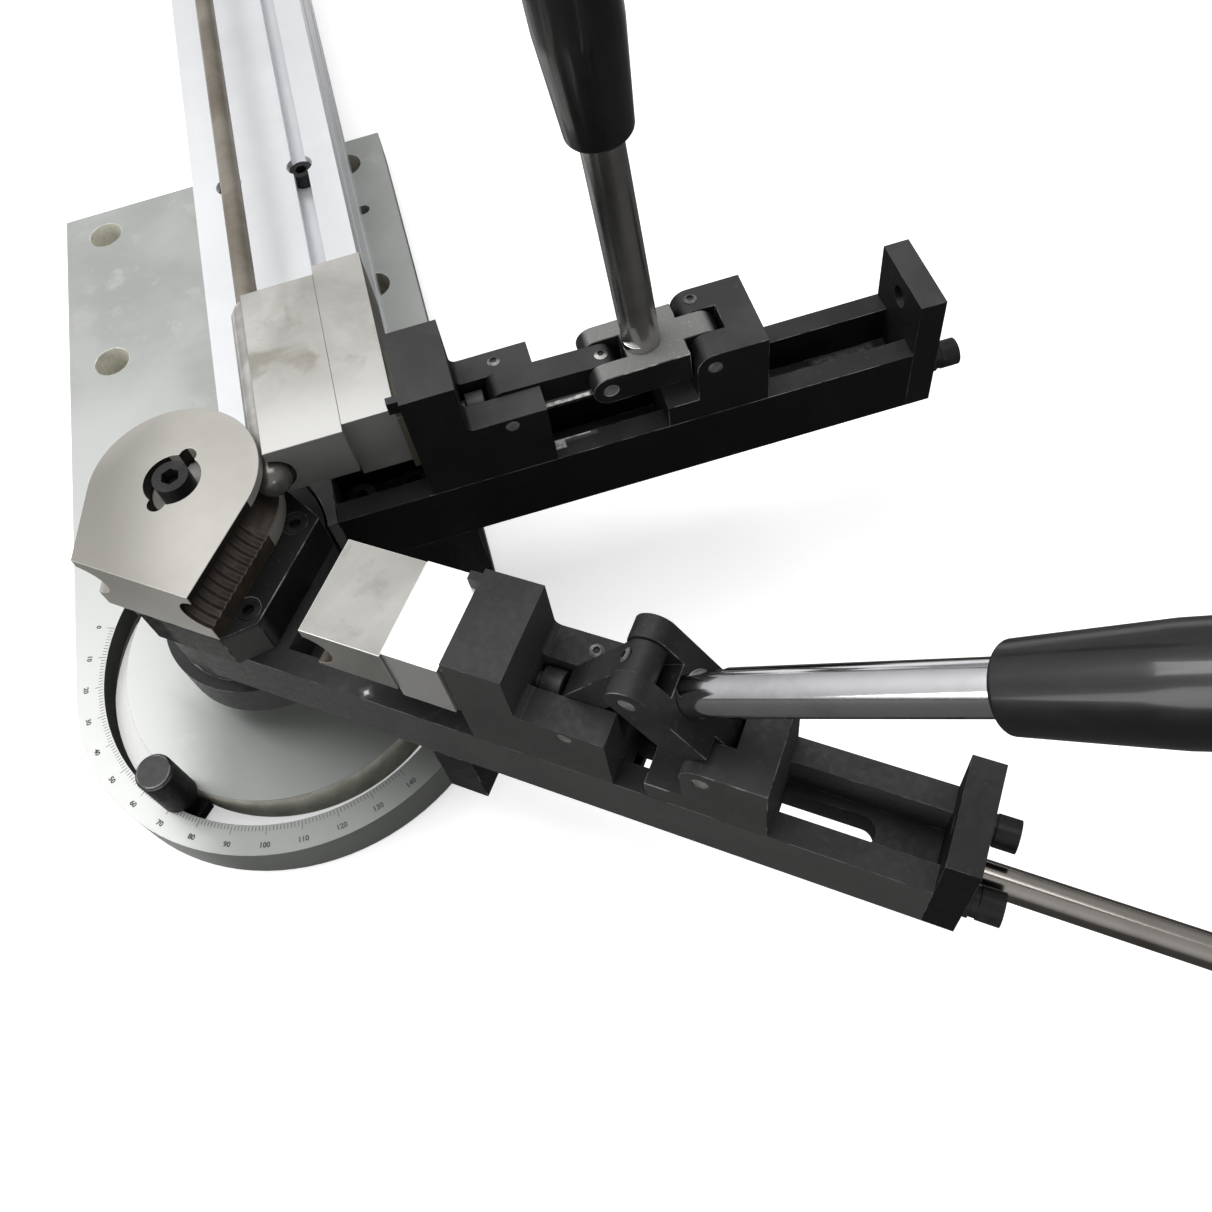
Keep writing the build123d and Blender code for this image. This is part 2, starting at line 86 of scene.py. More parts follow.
def patchGroup():
    # cloudy patches left by oil, handling and heat, and a fine grain
    group, entry, leave = newGroup(
        "patches", [("Scale", number, 30.0), ("Low", number, 0.42), ("High", number, 0.62)],
        ["Mask", "Fine"])
    place = addNode(group, "ShaderNodeTexCoord")
    cloud = addNode(group, "ShaderNodeTexNoise", values=patchLook["cloud"])
    grit = addNode(group, "ShaderNodeTexNoise", values=patchLook["grit"])
    times = addNode(group, "ShaderNodeMath", {"operation": "MULTIPLY"}, {1: patchLook["finer"]})
    span = addNode(group, "ShaderNodeMapRange", {"interpolation_type": "SMOOTHSTEP"})
    joinAll(group, [
        (place, "Object", cloud, "Vector"), (place, "Object", grit, "Vector"),
        (entry, "Scale", cloud, "Scale"), (entry, "Scale", times, 0), (times, 0, grit, "Scale"),
        (cloud, "Fac", span, "Value"), (entry, "Low", span, "From Min"),
        (entry, "High", span, "From Max"), (span, "Result", leave, "Mask"),
        (grit, "Fac", leave, "Fine")])
    return group


grindLook = {"lines": {"Scale": 1.0, "Detail": 4.0, "Roughness": 0.65},
             "bands": {"Scale": 1.0, "Detail": 3.0, "Roughness": 0.5}, "coarser": 0.16}


def grindGroup():
    # parallel lines left by grinding, drawing or turning
    group, entry, leave = newGroup(
        "grindLines",
        [("Turn", vector, (0, 0, 0)), ("Stretch", vector, (1600.0, 40.0, 1600.0))],
        ["Lines", "Bands"])
    place = addNode(group, "ShaderNodeTexCoord")
    turn = addNode(group, "ShaderNodeVectorRotate", {"rotation_type": "EULER_XYZ"})
    fine = addNode(group, "ShaderNodeVectorMath", {"operation": "MULTIPLY"})
    coarse = addNode(group, "ShaderNodeVectorMath", {"operation": "SCALE"},
                     {"Scale": grindLook["coarser"]})
    lines = addNode(group, "ShaderNodeTexNoise", values=grindLook["lines"])
    bands = addNode(group, "ShaderNodeTexNoise", values=grindLook["bands"])
    joinAll(group, [
        (place, "Object", turn, "Vector"), (entry, "Turn", turn, "Rotation"),
        (turn, 0, fine, 0), (entry, "Stretch", fine, 1), (fine, 0, lines, "Vector"),
        (fine, 0, coarse, 0), (coarse, 0, bands, "Vector"),
        (lines, "Fac", leave, "Lines"), (bands, "Fac", leave, "Bands")])
    return group


def zoneGroup():
    # a soft box on the piece painted lighter or darker: mostly painted light, painted shade and
    # painted highlights, some of it worn bare
    group, entry, leave = newGroup(
        "paintedLightAndWearZone",
        [("Centre", vector, (0, 0, 0)), ("Half", vector, (0.01, 0.01, 0.01)),
         ("Soft", number, 0.002), ("Turn", number, 0.0)],
        ["Mask"])
    place = addNode(group, "ShaderNodeTexCoord")
    away = addNode(group, "ShaderNodeVectorMath", {"operation": "SUBTRACT"})
    turn = addNode(group, "ShaderNodeVectorRotate", {"rotation_type": "Z_AXIS"})
    size = addNode(group, "ShaderNodeVectorMath", {"operation": "ABSOLUTE"})
    past = addNode(group, "ShaderNodeVectorMath", {"operation": "SUBTRACT"})
    parts = addNode(group, "ShaderNodeSeparateXYZ")
    first = addNode(group, "ShaderNodeMath", {"operation": "MAXIMUM"})
    most = addNode(group, "ShaderNodeMath", {"operation": "MAXIMUM"})
    span = addNode(group, "ShaderNodeMapRange", {"interpolation_type": "SMOOTHSTEP"},
                   {"To Min": 1.0, "To Max": 0.0})
    joinAll(group, [
        (place, "Object", away, 0), (entry, "Centre", away, 1), (away, 0, turn, "Vector"),
        (entry, "Turn", turn, "Angle"), (turn, 0, size, 0), (size, 0, past, 0),
        (entry, "Half", past, 1), (past, 0, parts, 0), (parts, "X", first, 0),
        (parts, "Y", first, 1), (first, 0, most, 0), (parts, "Z", most, 1),
        (most, 0, span, "Value"), (entry, "Soft", span, "From Max"),
        (span, "Result", leave, "Mask")])
    return group


groups = {"patches": patchGroup(), "grindLines": grindGroup(), "paintedLightAndWearZone": zoneGroup()}
print("node groups made:", ", ".join(groups))


# steps that the finishes are built from
def startFinish(name, look):
    finish = bpy.data.materials.new(name)
    finish.use_nodes = True
    tree = finish.node_tree
    shader = tree.nodes["Principled BSDF"]
    shader.inputs["Metallic"].default_value = look["metallic"]
    shader.inputs["Specular IOR Level"].default_value = look["specular"]
    return finish, tree, shader


def useGroup(tree, name, values):
    return addNode(tree, "ShaderNodeGroup", {"node_tree": groups[name]}, values)


def usePatches(tree, look):
    return useGroup(tree, "patches",
                    {"Scale": look["scale"], "Low": look["low"], "High": look["high"]})


def mixColours(tree, factor, first, second):
    node = addNode(tree, "ShaderNodeMix", {"data_type": "RGBA"})
    tree.links.new(factor, node.inputs["Factor"])
    for socket, value in ((node.inputs["A"], first), (node.inputs["B"], second)):
        if isinstance(value, tuple):
            socket.default_value = (*value, 1)
        else:
            tree.links.new(value, socket)
    return node.outputs["Result"]


def spread(tree, value, low, high, fromLow=0.0, fromHigh=1.0):
    node = addNode(tree, "ShaderNodeMapRange", values={
        "From Min": fromLow, "From Max": fromHigh, "To Min": low, "To Max": high})
    tree.links.new(value, node.inputs["Value"])
    return node.outputs["Result"]


def timesBoth(tree, first, second):
    node = addNode(tree, "ShaderNodeMath", {"operation": "MULTIPLY"})
    tree.links.new(first, node.inputs[0])
    tree.links.new(second, node.inputs[1])
    return node.outputs[0]


def addBump(tree, shader, height, look):
    node = addNode(tree, "ShaderNodeBump",
                   values={"Strength": look["bump"], "Distance": look["bumpHigh"]})
    tree.links.new(height, node.inputs["Height"])
    tree.links.new(node.outputs["Normal"], shader.inputs["Normal"])


topLean = (0.75, 0.95)  # how far up a face looks before it counts as a top
zoneGrain = {"low": 0.3, "high": 1.0, "fromLow": 0.35, "fromHigh": 0.55}
stainSpan = {"low": 0.56, "high": 0.74}


def topFaces(tree):
    # where the surface looks up: the mask for tops painted lighter and for upright faces painted
    # darker or lighter
    place = addNode(tree, "ShaderNodeTexCoord")
    parts = addNode(tree, "ShaderNodeSeparateXYZ")
    tree.links.new(place.outputs["Normal"], parts.inputs[0])
    return spread(tree, parts.outputs["Z"], 0.0, 1.0, *topLean)


def addZones(tree, tone, look, fine=None):
    # soft boxes on the piece painted lighter or darker: painted light, painted shade and painted
    # highlights, and some places worn bare
    for colour, box in look.get("zones", []):
        share = useGroup(tree, "paintedLightAndWearZone", box).outputs["Mask"]
        if fine:
            share = timesBoth(tree, share, spread(tree, fine, **zoneGrain))
        tone = mixColours(tree, share, tone, colour)
    return tone


def shadeSides(tree, tone, look):
    # painted light and shade: upright faces are coloured darker than the tops, or lighter on some
    # finishes, standing in for how the lamps fall on them
    if "side" not in look:
        return tone
    colour, share = look["side"]
    return mixColours(tree, spread(tree, topFaces(tree), share, 0.0), tone, colour)


def makeBlackened(name, look):
    finish, tree, shader = startFinish(name, look)
    cloud = usePatches(tree, look)
    fine = cloud.outputs["Fine"]
    body = mixColours(tree, cloud.outputs["Mask"], look["dark"], look["light"])
    specks = spread(tree, fine, 0.0, look["speckShare"], *look["speckFrom"])
    # the tops take a lighter colour, worn bare in part and painted light from above in part; the
    # bare specks stay on them
    if "topLitAndBare" in look:
        upwardMask = topFaces(tree)
        body = mixColours(tree, upwardMask, body, look["topLitAndBare"])
        specks = timesBoth(tree, specks, upwardMask)
    body = mixColours(tree, specks, body, look["bare"])
    body = addZones(tree, body, look, None if look.get("smooth") else fine)
    tree.links.new(shadeSides(tree, body, look), shader.inputs["Base Color"])
    rough = spread(tree, fine, *look["rough"], *look["roughFrom"])
    tree.links.new(rough, shader.inputs["Roughness"])
    addBump(tree, shader, fine, look)
    return finish


def makeWornEdge(name, look):
    # broken edges in a lighter tone than the body: worn bare in part and painted highlight in part
    finish, tree, shader = startFinish(name, look)
    cloud = usePatches(tree, look)
    tone = mixColours(tree, cloud.outputs["Mask"], look["dark"], look["bare"])
    tree.links.new(tone, shader.inputs["Base Color"])
    rough = spread(tree, cloud.outputs["Fine"], *look["rough"])
    tree.links.new(rough, shader.inputs["Roughness"])
    return finish


def makeSteel(name, look):
    finish, tree, shader = startFinish(name, look)
    lines = useGroup(tree, "grindLines", {"Turn": look["turn"], "Stretch": look["stretch"]})
    cloud = usePatches(tree, look)
    tone = mixColours(tree, cloud.outputs["Mask"], look["dark"], look["light"])
    bands = spread(tree, lines.outputs["Bands"], 0.0, look["bandShare"])
    tone = mixColours(tree, bands, tone, look["band"])
    if "stain" in look:
        marks = usePatches(tree, {**stainSpan, "scale": look["stainScale"]})
        tone = mixColours(tree, marks.outputs["Mask"], tone, look["stain"])
    tone = shadeSides(tree, addZones(tree, tone, look), look)
    tree.links.new(tone, shader.inputs["Base Color"])
    rough = spread(tree, lines.outputs["Lines"], *look["rough"])
    tree.links.new(rough, shader.inputs["Roughness"])
    addBump(tree, shader, lines.outputs["Lines"], look)
    return finish


def makeChrome(name, look):
    finish, tree, shader = startFinish(name, look)
    cloud = usePatches(tree, look)
    tone = mixColours(tree, cloud.outputs["Mask"], look["light"], look["dark"])
    tree.links.new(tone, shader.inputs["Base Color"])
    rough = spread(tree, cloud.outputs["Fine"], *look["rough"])
    tree.links.new(rough, shader.inputs["Roughness"])
    return finish


def makeGripPlastic(name, look):
    finish, tree, shader = startFinish(name, look)
    cloud = usePatches(tree, look)
    tone = mixColours(tree, cloud.outputs["Mask"], look["dark"], look["light"])
    tree.links.new(tone, shader.inputs["Base Color"])
    rough = spread(tree, cloud.outputs["Mask"], *look["rough"])
    tree.links.new(rough, shader.inputs["Roughness"])
    shader.inputs["Coat Weight"].default_value = look["coat"]
    shader.inputs["Coat Roughness"].default_value = look["coatRough"]
    addBump(tree, shader, cloud.outputs["Fine"], look)
    return finish


def zone(colour, centre, half, soft, turn=0.0):
    return colour, {"Centre": centre, "Half": half, "Soft": soft, "Turn": turn}


# the finishes, from a few common looks
black = (0, 0, 0)
brightWearAndGlint, greyPatchTone = (0.82, 0.81, 0.78), (0.11, 0.11, 0.107)
blackLook = {
    "metallic": 0.0, "specular": 0.28, "scale": 26.0, "low": 0.38, "high": 0.66,
    "dark": (0.013, 0.0135, 0.0135), "light": (0.025, 0.0255, 0.025), "bare": (0.06, 0.06, 0.058),
    "speckShare": 0.45, "speckFrom": (0.62, 0.74), "rough": (0.4, 0.6), "roughFrom": (0.3, 0.7),
    "bump": 0.1, "bumpHigh": 0.2 * mm}
# painted light: the lower parts' upright faces are coloured lighter than their tops, as lit from
# the front-left
lowerLook = {**blackLook, "side": ((0.064, 0.065, 0.062), 0.52)}
screwLook = {
    **blackLook, "scale": 120.0, "dark": (0.009, 0.009, 0.0095), "light": (0.02, 0.02, 0.02),
    "rough": (0.3, 0.46)}
edgeLook = {
    "metallic": 0.35, "specular": 0.5, "scale": 90.0, "low": 0.44, "high": 0.62,
    "dark": (0.025, 0.025, 0.025), "bare": (0.19, 0.19, 0.185), "rough": (0.34, 0.58)}
steelLook = {
    "metallic": 0.6, "specular": 0.5, "turn": (0, 0, 0), "stretch": (1400.0, 30.0, 1400.0),
    "scale": 14.0, "low": 0.35, "high": 0.7, "dark": (0.34, 0.326, 0.302),
    "light": (0.45, 0.435, 0.41), "band": (0.27, 0.257, 0.235), "bandShare": 0.4,
    "rough": (0.34, 0.5), "bump": 0.05, "bumpHigh": 0.1 * mm}
rustLook = {
    **steelLook, "metallic": 0.3, "stretch": (300.0, 300.0, 300.0), "scale": 90.0,
    # painted shade: the upper part of each groove is darker, under the die's top edge
    "zones": [zone((0.016, 0.013, 0.011), (0, 0, 0.156), (0.3, 0.3, 0.0105), 0.008)]}
mandrelLook = {**steelLook, "stretch": (900.0, 30.0, 900.0)}
chromeLook = {"metallic": 1.0, "specular": 0.5, "low": 0.45, "high": 0.8}
finishPlans = {
    "blackened": (makeBlackened, blackLook),
    # painted light and shade: the upper parts' tops are coloured lighter and their upright faces
    # nearly black
    "upperBlack": (makeBlackened, {
        **blackLook, "dark": (0.029, 0.0295, 0.029), "light": (0.044, 0.0445, 0.044),
        "side": (black, 0.85)}),
    "lowerBlack": (makeBlackened, lowerLook),
    # the swing arm's end plate: a darker copy of the blackened finish, its upright faces painted
    # darker still as shade
    "endBlack": (makeBlackened, {
        **blackLook, "dark": (0.011, 0.0114, 0.0112), "light": (0.02, 0.0204, 0.02),
        "side": (black, 0.88)}),
    # painted shade on the arm's upright faces; bright lines along its top edges, worn bare in part
    # and painted highlight in part, a grey patch beside one and another on the trough floor
    "armBlack": (makeBlackened, {
        **blackLook, "side": (black, 0.85), "zones": [
            zone(brightWearAndGlint, (0.161, 0.0268, 0.105), (0.010, 0.0012, 0.0008), 0.0012),
            zone(greyPatchTone, (0.161, 0.0070, 0.105), (0.007, 0.0006, 0.0008), 0.0022),
            zone(brightWearAndGlint, (0.160, 0.0073, 0.105), (0.006, 0.0002, 0.0008), 0.0008),
            zone(brightWearAndGlint, (0.1523, 0.0050, 0.105), (0.0016, 0.0018, 0.0008), 0.0012),
            zone(greyPatchTone, (0.288, 0.017, 0.086), (0.012, 0.007, 0.0008), 0.004)]}),
    # painted light: the swing arm's upright faces are coloured lighter than its tops, and its top
    # carries a painted highlight with a grey halo
    "swingBlack": (makeBlackened, {
        **lowerLook, "side": ((0.08, 0.0815, 0.078), 0.55), "zones": [
            zone(greyPatchTone, (0.0504, -0.0859, 0.105), (0.001, 0.001, 0.0008), 0.0024),
            zone(brightWearAndGlint, (0.0504, -0.0859, 0.105), (0.0005, 0.0005, 0.0008), 0.0009)]}),
    # painted shade: the seat is a darker copy of the blackened finish, standing in for the shadow
    # of the die above; its spigot top is lighter, worn in part and painted glints in part; painted
    # light on its near face and chamfer
    "seatBlack": (makeBlackened, {
        **blackLook, "dark": (0.007, 0.0072, 0.007), "light": (0.013, 0.0133, 0.013),
        "specular": 0.1, "smooth": True, "zones": [
            zone((0.3, 0.29, 0.27), (0, 0, 0.151), (0.0116, 0.0116, 0.0004), 0.0006),
            zone((0.055, 0.058, 0.054), (-0.0002, -0.0508, 0.1145), (0.022, 0.0085, 0.0085),
                 0.004, -swingTurn)]}),
    # the yoke: tops worn bare in part and painted light in part, upright faces painted darker as
    # shade
    "yokeWornAndLit": (makeBlackened, {
        **blackLook, "scale": 60.0, "topLitAndBare": (0.19, 0.19, 0.186), "bare": (0.4, 0.4, 0.39),
        "side": (black, 0.6), "speckFrom": (0.58, 0.72), "bump": 0.06}),
    # the arm root in a lighter grey than the other blackened parts, standing in part for light
    # thrown on it by the shiny bend die
    "rootGrey": (makeBlackened, {
        **blackLook, "dark": (0.092, 0.097, 0.092), "light": (0.138, 0.143, 0.135),
        "bare": (0.2, 0.2, 0.195)}),
    "screwBlack": (makeBlackened, screwLook),
    # painted light: the die bolts' heads are coloured lighter for the light on their tops
    "boltHeadLit": (makeBlackened, {
        **screwLook, "dark": (0.03, 0.0305, 0.03), "light": (0.06, 0.0605, 0.059),
        "bare": (0.3, 0.3, 0.29), "rough": (0.26, 0.4)}),
    "wornAndSheenEdge": (makeWornEdge, edgeLook),
    # a brighter copy for the yoke's edges and the set screws' rims: painted highlight
    "brightEdge": (makeWornEdge, {
        **edgeLook, "dark": (0.07, 0.07, 0.068), "bare": (0.42, 0.42, 0.41)}),
    # painted light: the bend die's upright faces are coloured lighter than its top; painted shade
    # darker towards the left of the top
    "dieSteel": (makeSteel, {
        **steelLook, "turn": (0, 0, crossTurn), "dark": (0.39, 0.375, 0.348),
        "light": (0.49, 0.474, 0.445), "bandShare": 0.14, "side": ((0.62, 0.61, 0.56), 0.6),
        "zones": [zone((0.22, 0.212, 0.192), (-0.047, -0.02, 0.1595), (0.014, 0.024, 0.002),
                       0.045)]}),
    # painted shade on the pressure die's upright faces; lighter towards the front of its top
    "pressureSteel": (makeSteel, {
        **steelLook, "scale": 24.0, "dark": (0.37, 0.36, 0.335), "light": (0.56, 0.55, 0.525),
        "band": (0.36, 0.35, 0.32), "stain": (0.3, 0.285, 0.25), "stainScale": 40.0,
        "side": (black, 0.45),
        "zones": [zone((0.6, 0.595, 0.575), (0.07, -0.002, 0.1595), (0.035, 0.006, 0.0005),
                       0.04)]}),
    # painted shade on the clamp die's upright faces
    "clampSteel": (makeSteel, {
        **steelLook, "turn": (0, 0, crossTurn), "dark": (0.26, 0.254, 0.237),
        "light": (0.38, 0.372, 0.352), "band": (0.22, 0.214, 0.197),
        "stain": (0.24, 0.232, 0.212), "stainScale": 60.0, "side": (black, 0.12)}),
    # painted shade on the clamp backing's upright faces
    "clampBright": (makeSteel, {
        **steelLook, "turn": (0, 0, -swingTurn), "dark": (0.8, 0.79, 0.77),
        "light": (0.92, 0.91, 0.89), "band": (0.74, 0.73, 0.7), "rough": (0.26, 0.4),
        "side": (black, 0.42)}),
    "grooveRustAndShade": (makeSteel, {
        **rustLook, "dark": (0.035, 0.026, 0.019), "light": (0.075, 0.058, 0.044),
        "band": (0.05, 0.036, 0.026), "rough": (0.36, 0.56), "stain": (0.11, 0.088, 0.07),
        "stainScale": 120.0}),
    "toothEdge": (makeSteel, {
        **rustLook, "dark": (0.08, 0.064, 0.05), "light": (0.15, 0.124, 0.1),
        "band": (0.065, 0.05, 0.04)}),
    "plateSteel": (makeSteel, {
        **steelLook, "metallic": 0.4, "stretch": (320.0, 90.0, 320.0), "scale": 16.0, "low": 0.3,
        "high": 0.72, "dark": (0.365, 0.38, 0.362), "light": (0.47, 0.485, 0.463),
        "band": (0.36, 0.375, 0.36), "bandShare": 0.16, "stain": (0.462, 0.475, 0.454),
        "stainScale": 62.0, "rough": (0.36, 0.46), "zones": [
            # painted light on the plate's left, painted shade on its front right
            zone((0.53, 0.54, 0.525), (-0.112, 0.03, 0.022), (0.03, 0.14, 0.03), 0.05),
            zone((0.225, 0.237, 0.226), (0.02, -0.085, 0.022), (0.05, 0.045, 0.03), 0.035)]}),
    "slotShade": (makeSteel, {
        **steelLook, "metallic": 0.2, "stretch": (320.0, 320.0, 90.0),
        "dark": (0.035, 0.04, 0.037), "light": (0.075, 0.082, 0.077),
        "band": (0.03, 0.034, 0.031)}),
    # painted light: walls in shade are coloured far paler than the plate, so they read as lit
    "paleLitWall": (makeSteel, {
        **steelLook, "metallic": 0.1, "stretch": (320.0, 320.0, 90.0), "scale": 120.0,
        "dark": (0.62, 0.61, 0.52), "light": (0.9, 0.89, 0.79), "band": (0.5, 0.49, 0.41)}),
    # painted highlight on the bolt holes' rims
    "rimHighlight": (makeWornEdge, {
        **edgeLook, "dark": (0.5, 0.5, 0.48), "bare": (0.95, 0.95, 0.93)}),
    "railAluminium": (makeSteel, {
        **steelLook, "metallic": 0.55, "stretch": (1500.0, 8.0, 1500.0),
        "dark": (0.86, 0.872, 0.895), "light": (0.95, 0.96, 0.98), "band": (0.74, 0.75, 0.78),
        "bandShare": 0.25, "rough": (0.24, 0.4)}),
    "pinSteel": (makeSteel, {
        **steelLook, "stretch": (900.0, 900.0, 60.0), "scale": 180.0, "dark": (0.2, 0.2, 0.196),
        "light": (0.42, 0.42, 0.41), "band": (0.16, 0.16, 0.156)}),
    "shimBrown": (makeSteel, {
        **steelLook, "metallic": 0.3, "dark": (0.07, 0.063, 0.045), "light": (0.13, 0.12, 0.09),
        "band": (0.05, 0.045, 0.032)}),
    "mandrelSteel": (makeSteel, {
        **mandrelLook, "metallic": 0.35, "scale": 24.0, "dark": (0.16, 0.138, 0.108),
        "light": (0.32, 0.295, 0.25), "band": (0.1, 0.08, 0.056), "bandShare": 0.5,
        "rough": (0.3, 0.5)}),
    "mandrelBright": (makeSteel, {
        **mandrelLook, "scale": 60.0, "dark": (0.36, 0.355, 0.335), "light": (0.62, 0.61, 0.585),
        "band": (0.3, 0.29, 0.265), "rough": (0.16, 0.3),
        # painted shade: darker at the tip, where it sits in the groove's mouth
        "zones": [zone((0.16, 0.157, 0.145), (0.036, -0.004, 0.1446), (0.01, 0.007, 0.01),
                       0.012)]}),
    "bronze": (makeSteel, {
        **steelLook, "dark": (0.5, 0.33, 0.14), "light": (0.62, 0.43, 0.2),
        "band": (0.42, 0.27, 0.1)}),
    "dullChrome": (makeChrome, {
        **chromeLook, "scale": 30.0, "light": (0.55, 0.54, 0.53), "dark": (0.4, 0.39, 0.375),
        "rough": (0.2, 0.3)}),
    "chrome": (makeChrome, {
        **chromeLook, "scale": 40.0, "light": (0.84, 0.84, 0.86), "dark": (0.66, 0.66, 0.68),
        "rough": (0.06, 0.15)}),
    "pullChrome": (makeChrome, {
        **chromeLook, "scale": 46.0, "light": (0.36, 0.335, 0.31), "dark": (0.24, 0.22, 0.2),
        "rough": (0.12, 0.24)}),
    "gripBlack": (makeGripPlastic, {
        "metallic": 0.0, "specular": 0.4, "scale": 38.0, "low": 0.4, "high": 0.7,
        "dark": (0.006, 0.006, 0.0065), "light": (0.01, 0.0102, 0.0104), "rough": (0.3, 0.42),
        "coat": 0.5, "coatRough": 0.1, "bump": 0.04, "bumpHigh": 0.2 * mm}),
    "scaleInk": (makeBlackened, {
        **blackLook, "dark": (0.045, 0.046, 0.045), "light": (0.085, 0.086, 0.085)}),
}
finishes = {name: make(name, look) for name, (make, look) in finishPlans.items()}
print("finishes made:", len(finishes))


# dressing the CAD pieces
def pickOnly(piece):
    bpy.ops.object.select_all(action="DESELECT")
    piece.select_set(True)
    bpy.context.view_layer.objects.active = piece


def bodyOf(node):
    bodies = frame["record"]["behaviour"]["bodies"]
    return next(body for body, members in bodies.items() if node in members)


def slotOf(node):
    rows = frame["record"]["subparts"]
    return next(row["material_slot"] for row in rows if row["node"] == node)


def pinCentre(node):
    low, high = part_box(node)
    return (Vector(low) + Vector(high)) / 2


mergeLook = {"gap": 0.002 * mm, "flat": math.radians(0.4)}


def mergeFlat(piece):
    # join the loose triangles and take out the lines across flat faces
    pickOnly(piece)
    bpy.ops.object.mode_set(mode="EDIT")
    bpy.ops.mesh.select_all(action="SELECT")
    bpy.ops.mesh.remove_doubles(threshold=mergeLook["gap"])
    bpy.ops.mesh.dissolve_limited(angle_limit=mergeLook["flat"])
    bpy.ops.mesh.delete_loose()
    bpy.ops.object.mode_set(mode="OBJECT")


pocketLook = {"turn": {"pressure_holder": 0.0, "clamp_holder": swingTurn},
              "along": (-17.9 * mm, -6.0 * mm), "wide": 12.5 * mm,
              "height": (-22.5 * mm, 20.0 * mm)}


def cutPocket(piece, node):
    # the clevis slot runs on to the holder's face, round the head of the die bolt
    (back, front), (low, high) = pocketLook["along"], pocketLook["height"]
    bpy.ops.object.select_all(action="DESELECT")
    bpy.ops.mesh.primitive_cube_add(size=1.0, location=(0, 0, 0))
    cutter = bpy.context.active_object
    size = Matrix.Diagonal((front - back, pocketLook["wide"], high - low, 1))
    middle = Matrix.Translation(((back + front) / 2, 0, (low + high) / 2))
    turn = Matrix.Rotation(pocketLook["turn"][node], 4, "Z")
    cutter.data.transform(Matrix.Translation(pinCentre(node + "_pin")) @ turn @ middle @ size)
    cut = piece.modifiers.new("openPocket", "BOOLEAN")
    cut.operation = "DIFFERENCE"
    cut.solver = "EXACT"
    cut.object = cutter
    pickOnly(piece)
    bpy.ops.object.modifier_apply(modifier="openPocket")
    bpy.data.objects.remove(cutter)
    mergeFlat(piece)


rootRelief = {"node": "arm_root", "above": 104.9 * mm, "drop": 0.2 * mm}
nutRelief = {"node": "stop_nut", "within": 81.0 * mm, "shift": 2.55 * mm}


def easeTop(piece):
    # a hair of room for the die seat, which swings across this top
    for vertex in piece.data.vertices:
        if vertex.co.z > rootRelief["above"]:
            vertex.co.z -= rootRelief["drop"]


def easeNut(piece):
    # the nut's inner side keeps clear of the step in the arc slot
    outward = pinCentre(nutRelief["node"]) * Vector((1, 1, 0))
    outward.normalize()
    for vertex in piece.data.vertices:
        if vertex.co.dot(outward) < nutRelief["within"]:
            vertex.co += outward * nutRelief["shift"]


# faces of the dies and the base plate with a finish of their own, and of their broken edges: the
# slot's outer wall dark as painted shade, the pale walls painted light, the bolt holes' rims
# painted highlight, and the bend die's bore painted dark as shade beside the browned grooves
dieFinish = {"groove": ("grooveRustAndShade", "toothEdge")}
ownFinish = {
    "bend_die": dieFinish, "pressure_die": dieFinish, "clamp_die": dieFinish,
    "base_plate": {"slotWall": ("slotShade", "slotShade"), "discWall": ("paleLitWall", "plateSteel"),
                   "boltHole": ("paleLitWall", "rimHighlight")}}
wallLean = 0.5  # a wall's normal leans less than this along the wall
grooveLook = {"radius": 10.9 * mm, "height": 144.6 * mm, "bend": 36.0 * mm, "browned": 50.0,
              "bore": 16.0 * mm, "pressure": 35.93 * mm, "clamp": 81.89 * mm, "endLean": 0.8}
slotLook = {"wall": (92.0 * mm, 93.4 * mm), "disc": (80.8 * mm, 81.8 * mm)}
holeLook = {"across": 80.5 * mm, "along": (336.75 * mm, 222.25 * mm), "radius": 11.3 * mm}


def inGroove(node, point, normal):
    # is this face of a die on the browned wall of its pipe groove, or on the wall of the bend die's
    # bore, which is painted dark as shade?
    look, rise = grooveLook, point.z - grooveLook["height"]
    if node == "pressure_die":
        near = math.hypot(point.x - look["pressure"], rise) < look["radius"]
        return near and abs(normal.y) < wallLean
    toDie = Matrix.Rotation(-swingTurn, 3, "Z")
    die, facing = toDie @ point, toDie @ normal
    if abs(facing.y) > look["endLean"]:
        return False
    if node == "clamp_die":
        return math.hypot(die.x - look["clamp"], rise) < look["radius"]
    reach = math.hypot(die.x, die.y)
    if reach < look["bore"] and abs(normal.z) < wallLean:
        return True
    if die.y < 0:
        return die.x > 0 and math.hypot(die.x - look["bend"], rise) < look["radius"]
    browned = math.degrees(math.atan2(die.y, die.x)) < look["browned"]
    return browned and math.hypot(reach - look["bend"], rise) < look["radius"]


def plateKind(point, normal):
    # bolt holes, the slot's dark outer wall and the wall of the disc inside it
    side = abs(point.x) - holeLook["across"]
    if any(math.hypot(side, point.y - row) < holeLook["radius"] for row in holeLook["along"]):
        return "boltHole"
    reach = math.hypot(point.x, point.y)
    outward = normal.x * point.x + normal.y * point.y > 0
    if abs(normal.z) < wallLean:
        if slotLook["wall"][0] < reach < slotLook["wall"][1] and not outward:
            return "slotWall"
        if slotLook["disc"][0] < reach < slotLook["disc"][1]:
            return "discWall"
    return None


def slotFor(piece, name):
    # the piece's material slot for this finish, added where it is missing
    if name not in piece.data.materials:
        piece.data.materials.append(finishes[name])
    return piece.data.materials.find(name)


